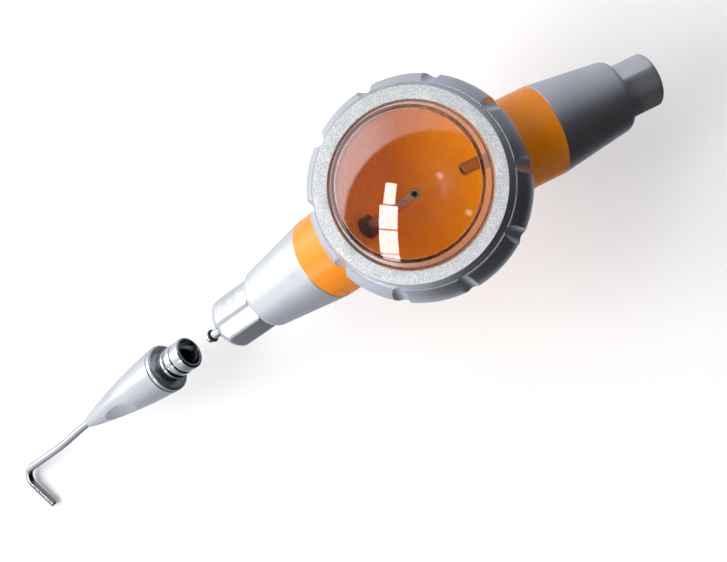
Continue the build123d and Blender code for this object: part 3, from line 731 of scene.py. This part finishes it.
socket_face = [(48.23, 6.3), (48.32, 6.48), (48.5, 6.62)]
socket_face += [(h, 6.9) for h in between(48.8, 55.1, 14)]
socket_face += [
    (55.35, 6.86), (55.6, 6.72), (55.85, 6.48), (56.05, 6.3), (56.3, 6.15), (56.55, 5.98),
    (56.75, 5.8), (56.9, 5.6), (57.0, 5.36),
]
socket_stem = rounded(
    [
        (1.75, 42.8, 0.05), (6.2, 42.8, 0.1), (6.5, 43.1), (6.5, 45.2), (5.9, 45.2), (5.9, 46.0),
        (6.5, 46.0), (6.5, 48.2),
    ]
)[:-1]
socket_stem += [(6.5, 48.15), (6.15, 48.2)]
socket_bore = rounded(
    [
        (5.3, 57.0, 0.0), (4.72, 57.0, 0.1), (4.5, 56.75, 0.1), (4.5, 45.0, 0.1), (1.95, 45.0, 0.05),
        (1.75, 45.2, 0.0),
    ]
)
hose_socket = octagon_piece(
    "hose_coupling", REAR, 12.0, 12.5, 6.42, socket_stem, socket_face, socket_bore
)
drill(hose_socket, [(REAR, -3.2, 0, 41.8, 45.8, 0.95)])
stands_for(hose_socket, "hose_socket", "handpiece", rear_chrome)

# ---------------------------------------------------------------- front arm
collar_outline = rounded(
    [
        (6.3, 24.7), (7.3, 24.7), (7.6, 25.0), (7.6, 26.8), (6.95, 26.8), (6.95, 27.6),
        (7.6, 27.6), (7.6, 29.9), (9.6, 29.9, 0.12), (9.68, 30.15, 0.1), (7.12, 48.8, 0.5),
        (6.8, 49.5, 0.25), (6.3, 49.8, 0.2), (5.45, 49.8, 0.05), (5.45, 43.0), (6.3, 42.2),
    ],
    6,
)
collar = revolved("front_collar_shell", FRONT, collar_outline, evenly(224))
stands_for(collar, "front_collar", "handpiece", front_satin)

nut_face = [(49.83, 6.15), (49.9, 6.35), (50.05, 6.5), (50.3, 6.62)]
nut_face += [(h, 6.9) for h in between(50.6, 59.7, 18)]
nut_face += [
    (60.0, 6.8), (60.25, 6.62), (60.45, 6.48), (60.8, 6.34), (61.15, 6.2), (61.45, 6.02),
    (61.75, 5.78), (62.0, 5.52), (62.25, 5.18), (62.45, 4.88), (62.56, 4.66),
]
nut_stem = rounded([(1.65, 43.2, 0.05), (5.4, 43.2, 0.1), (5.4, 49.8)])[:-1]
nut_stem += [(5.4, 49.75), (6.0, 49.8)]
nut_bore = rounded(
    [
        (4.5, 62.6, 0.0), (4.15, 62.6, 0.08), (3.97, 62.35, 0.08), (3.97, 60.6, 0.05), (4.75, 60.6),
        (4.75, 59.6), (3.97, 59.6, 0.05), (3.97, 57.6, 0.05), (4.85, 57.6), (4.85, 56.6),
        (3.97, 56.6, 0.05), (3.97, 54.4, 0.05), (2.25, 54.4), (2.25, 52.8), (1.65, 52.8),
    ]
)
nut = octagon_piece("front_end_nut", FRONT, 12.1, -16.0, 6.47, nut_stem, nut_face, nut_bore)
drill(nut, [(FRONT, -3.2, 0, 42.2, 47.4, 0.95), (FRONT, -3.2, 0, 46.5, 54.9, 0.6)])
stands_for(nut, "front_nut", "handpiece", front_chrome)

spigot_outline = rounded(
    [
        (0.55, 47.0), (1.12, 47.0), (1.12, 44.2), (1.6, 44.2), (1.6, 52.85), (2.2, 52.85),
        (2.2, 54.4, 0.05), (1.75, 54.7, 0.2), (1.1, 55.0, 0.2), (1.1, 67.9, 0.05), (0.85, 67.9),
        (0.85, 68.9), (1.15, 68.9, 0.05), (1.15, 69.7, 0.1), (0.9, 70.0, 0.08), (0.55, 70.0, 0.05),
    ]
)
spigot = revolved("powder_spigot", FRONT, spigot_outline, evenly(72))
stands_for(spigot, "spigot", "handpiece", steel)

# ---------------------------------------------------------------- nozzle
plug_outline = rounded(
    [
        (3.1, 76.9, 0.08), (3.6, 76.9, 0.15), (3.9, 77.2, 0.15), (3.9, 79.5, 0.08),
        (3.6, 79.72, 0.08), (3.6, 80.08, 0.08), (3.9, 80.3, 0.08), (3.9, 81.5, 0.08),
        (3.4, 81.8, 0.1), (3.4, 82.4, 0.1), (3.9, 82.7, 0.08), (3.9, 83.6, 0.08), (3.65, 83.8, 0.06),
        (3.65, 84.7), (2.95, 84.7), (2.95, 86.6), (2.38, 86.6), (2.38, 87.4), (2.95, 87.4),
        (2.95, 89.3), (2.5, 89.3), (2.5, 90.3), (2.95, 90.3), (2.95, 91.0), (1.9, 91.0),
        (1.9, 83.2, 0.05), (3.1, 83.2, 0.1),
    ]
)
plug = revolved("nozzle_plug_body", FRONT, plug_outline, evenly(144))
stands_for(plug, "nozzle_plug", "plug", front_chrome)

# Two shallow finger hollows, as a round cutter of this radius leaves them.
CUTTER = 31.0
cutter_reach = CUTTER - 0.62
cutter_x = 3.95 + cutter_reach * math.cos(math.radians(9.4))
cutter_h = 103.0 + cutter_reach * math.sin(math.radians(9.4))
HOLLOW_TURN = math.radians(-49.0)


def hollowed(radius, height, angle):
    """The cone's wall with a finger hollow on each side."""
    if radius < 2.0 or not 92.0 < height < 115.0:
        return radius, height
    left = CUTTER**2 - (height - cutter_h) ** 2
    if left <= 0:
        return radius, height
    wall = cutter_x - math.sqrt(left)
    lean = abs(math.cos(angle - HOLLOW_TURN))
    if lean < 0.05:
        return radius, height
    return smooth_min(radius, wall / lean, 0.12), height


cone_side = arc_through((5.9, 86.45), (4.22, 101.2), (1.35, 116.0), 96)
cone_outline = rounded(
    [
        (3.0, 84.8, 0.05), (5.45, 84.8, 0.1), (5.9, 85.25, 0.15), (5.9, 86.0, 0.06),
        (5.66, 86.2, 0.05), (5.9, 86.45, 0.0),
    ]
)[:-1] + cone_side
cone_outline += rounded([(1.35, 116.0), (1.22, 116.12, 0.05), (1.0, 116.1)])[1:]
cone_outline += [
    (1.0, 104.0), (1.6, 102.5), (1.6, 97.8), (2.65, 97.1), (2.65, 91.2), (3.0, 91.2), (3.0, 90.25),
    (3.3, 90.25), (3.3, 89.4), (3.0, 89.4),
]
cone = revolved("nozzle_body", FRONT, cone_outline, evenly(240), hollowed)
stands_for(cone, "nozzle_cone", "nozzle_head", cone_satin)

tip_side = FRONT.to_3x3().inverted() @ Vector((-0.066, 0.985, -0.157)).normalized()
tip_side = Vector((tip_side.x, tip_side.y, 0)).normalized()


def on_nozzle(along, across):
    return Vector((0, 0, along)) + tip_side * across


tube_corners = [(104.2, 0), (118.5, 0), (128.0, 0.9), (145.8, 1.0), (142.3, 12.0)]
outer_route = route_with_arcs([on_nozzle(*p) for p in tube_corners], [60, 60, 3.3])
tube = swept_tube("nozzle_tube", FRONT, outer_route, 0.95, 0.7, 0.09, 48)
stands_for(tube, "nozzle_outer_tube", "nozzle_head", tube_steel)

# ---------------------------------------------------------------- tubes in the bowl
inlet_outline = rounded(
    [(0.75, 9.3, 0.06), (1.02, 9.3, 0.1), (1.35, 9.62, 0.12), (1.35, 20.4), (0.75, 20.4)], 5
)
inlet = revolved("air_inlet_pipe", REAR, inlet_outline, evenly(72))
stands_for(inlet, "air_inlet_tube", "handpiece", bronze)

# ---------------------------------------------------------------- floor, lights, camera
FLOOR_RADIUS = 6.0
FLOOR_SIDES = 96
floor_mesh = bpy.data.meshes.new("floor")
drawn = bmesh.new()
around = [drawn.verts.new((0.0, 0.0, 0.0))]
for angle in evenly(FLOOR_SIDES):
    edge = (FLOOR_RADIUS * math.cos(angle), FLOOR_RADIUS * math.sin(angle), 0.0)
    around.append(drawn.verts.new(edge))
for k in range(FLOOR_SIDES):
    drawn.faces.new((around[0], around[1 + k], around[1 + (k + 1) % FLOOR_SIDES]))
drawn.to_mesh(floor_mesh)
drawn.free()
floor = bpy.data.objects.new("floor", floor_mesh)
floor.location = (0.08, 0.0, cad_low.z - 0.0006)
bpy.context.scene.collection.objects.link(floor)
paper = Nodes("floor_paper", Metallic=0.0)
paper.shader.inputs["Base Color"].default_value = (0.90, 0.90, 0.90, 1.0)
paper.shader.inputs["Roughness"].default_value = 0.9
paper.shader.inputs["Specular IOR Level"].default_value = 0.0
floor_mesh.materials.append(paper.material)
floor.visible_glossy = False

target = crossing * MM


def lamp(name, toward, distance, width, height, power, colour=(1, 1, 1), along=(0, 0, 1)):
    """A soft rectangular lamp that faces the object.

    toward is its direction from the object, and along is the direction of its height side.
    """
    data = bpy.data.lights.new(name, "AREA")
    data.shape = "RECTANGLE"
    data.size = width
    data.size_y = height
    data.energy = power * width * height * math.pi
    data.color = colour
    lamp_object = bpy.data.objects.new(name, data)
    z = Vector(toward).normalized()
    y = Vector(along)
    y = (y - z * y.dot(z)).normalized()
    facing = Matrix((y.cross(z), y, z)).transposed().to_4x4()
    lamp_object.matrix_world = Matrix.Translation(target + z * distance) @ facing
    lamp_object.visible_camera = False
    bpy.context.scene.collection.objects.link(lamp_object)
    return lamp_object


def heading(azimuth, elevation):
    a, e = math.radians(azimuth), math.radians(elevation)
    return Vector((math.cos(a) * math.cos(e), math.sin(a) * math.cos(e), math.sin(e)))


# window: a narrow bright strip with bars across it, high on the nozzle's side
strip_from = Vector((0.25, -0.23, 0.94)).normalized()
strip_to = Vector((0.64, 0.45, 0.62)).normalized()
strip_mid = (strip_from + strip_to).normalized()
strip_along = (strip_to - strip_from).normalized()
PANES = 4
PANE_LENGTH = 0.165
LAMP_DISTANCE = 0.7
for pane in range(PANES):
    shift = strip_along * ((pane - (PANES - 1) / 2) * PANE_LENGTH)
    wide = 0.085 if pane == 0 else 0.13
    long = PANE_LENGTH * 0.94
    white = (1.0, 0.99, 0.98)
    pane_lamp = lamp("window_%d" % pane, strip_mid, LAMP_DISTANCE, wide, long, 5.5, white, strip_along)
    pane_lamp.location = target + strip_mid * LAMP_DISTANCE + shift

lamp("side", heading(-36, 10), LAMP_DISTANCE, 0.5, 0.25, 1.6, (0.97, 0.99, 1.0))
lamp("low_window", heading(24, 28), LAMP_DISTANCE, 0.2, 0.18, 3.2, (1.0, 1.0, 0.99))
# two small ceiling lights
lamp("ceiling_0", (-0.183, -0.058, 0.981), LAMP_DISTANCE, 0.045, 0.035, 1.6)
lamp("ceiling_1", (-0.243, 0.376, 0.894), LAMP_DISTANCE, 0.035, 0.045, 1.3)
# two wide fills that light matt surfaces only, so they leave no mark on the metal and the cover
fills = [
    lamp("fill", heading(-8, 48), 0.8, 0.6, 0.6, 4.4, (1.0, 0.99, 0.97)),
    lamp("top_fill", heading(-130, 62), 1.0, 1.1, 1.1, 0.9, (0.98, 0.99, 1.0)),
]
for fill in fills:
    fill.visible_glossy = False
    fill.visible_transmission = False


# The room round the object: bright past the edge of a dark ceiling, falling off towards the hose.
class Sky:
    """A world of two backgrounds: a plain one the camera sees, and a graded one that lights the object."""

    def __init__(self):
        world = bpy.data.worlds.new("world")
        world.use_nodes = True
        bpy.context.scene.world = world
        self.tree = world.node_tree
        self.tree.nodes.clear()
        self.out = self.tree.nodes.new("ShaderNodeOutputWorld")
        self.outward = self.tree.nodes.new("ShaderNodeTexCoord").outputs["Generated"]

    def toward(self, direction):
        """How far a direction leans towards another, as their dot product."""
        node = self.tree.nodes.new("ShaderNodeVectorMath")
        node.operation = "DOT_PRODUCT"
        node.inputs[1].default_value = direction
        self.tree.links.new(self.outward, node.inputs[0])
        return node.outputs["Value"]

    def span(self, value, from_low, from_high, low, high, soft=False):
        node = self.tree.nodes.new("ShaderNodeMapRange")
        if soft:
            node.interpolation_type = "SMOOTHSTEP"
        node.inputs["From Min"].default_value = from_low
        node.inputs["From Max"].default_value = from_high
        node.inputs["To Min"].default_value = low
        node.inputs["To Max"].default_value = high
        self.tree.links.new(value, node.inputs["Value"])
        return node.outputs["Result"]

    def math(self, operation, a, b):
        node = self.tree.nodes.new("ShaderNodeMath")
        node.operation = operation
        self.tree.links.new(a, node.inputs[0])
        self.tree.links.new(b, node.inputs[1])
        return node.outputs["Value"]

    def background(self, colour, strength=1.0):
        node = self.tree.nodes.new("ShaderNodeBackground")
        node.inputs["Strength"].default_value = strength
        if isinstance(colour, tuple):
            node.inputs["Color"].default_value = colour
        else:
            self.tree.links.new(colour, node.inputs["Color"])
        return node


room = Sky()
lean = room.toward((0.32, -0.22, 0.05))
walls = room.span(lean, -0.33, 0.40, 0.03, 1.15)
bright = room.span(room.toward(heading(-42, 36)), 0.76, 0.97, 0.0, 0.85, True)
open_side = room.span(room.toward((0.093, 0.321, 0.943)), 0.585, 0.625, 1.0, 0.08, True)
far_side = room.span(room.toward((0.35, -0.9, 0.0)), -0.80, -0.15, 0.12, 1.0, True)
level = room.math("MULTIPLY", room.math("MULTIPLY", room.math("ADD", walls, bright), open_side), far_side)
tone = room.tree.nodes.new("ShaderNodeMix")
tone.data_type = "RGBA"
room.tree.links.new(room.span(lean, -0.2, 0.35, 0.0, 1.0), tone.inputs["Factor"])
tone.inputs["A"].default_value = (0.92, 0.97, 1.12, 1.0)
tone.inputs["B"].default_value = (0.97, 0.98, 1.02, 1.0)
dim = room.background(tone.outputs["Result"])
room.tree.links.new(level, dim.inputs["Strength"])
seen = room.background((0.93, 0.935, 0.94, 1.0))
which = room.tree.nodes.new("ShaderNodeMixShader")
room.tree.links.new(room.tree.nodes.new("ShaderNodeLightPath").outputs["Is Camera Ray"], which.inputs["Fac"])
room.tree.links.new(dim.outputs["Background"], which.inputs[1])
room.tree.links.new(seen.outputs["Background"], which.inputs[2])
room.tree.links.new(which.outputs["Shader"], room.out.inputs["Surface"])

camera_data = bpy.data.cameras.new("camera")
camera_data.sensor_width = 36.0
camera_data.lens = 84.2
camera_data.clip_start = 0.01
camera_data.clip_end = 20.0
camera = bpy.data.objects.new("camera", camera_data)
right = Vector((-0.8476, 0.4741, -0.2381))
up = Vector((-0.4932, -0.8696, 0.0241))
camera.matrix_world = Matrix((right, up, right.cross(up))).transposed().to_4x4().normalized()
camera.location = (0.00193, 0.05946, 0.37066)
bpy.context.scene.collection.objects.link(camera)
bpy.context.scene.camera = camera
bpy.context.scene.view_settings.view_transform = "Standard"
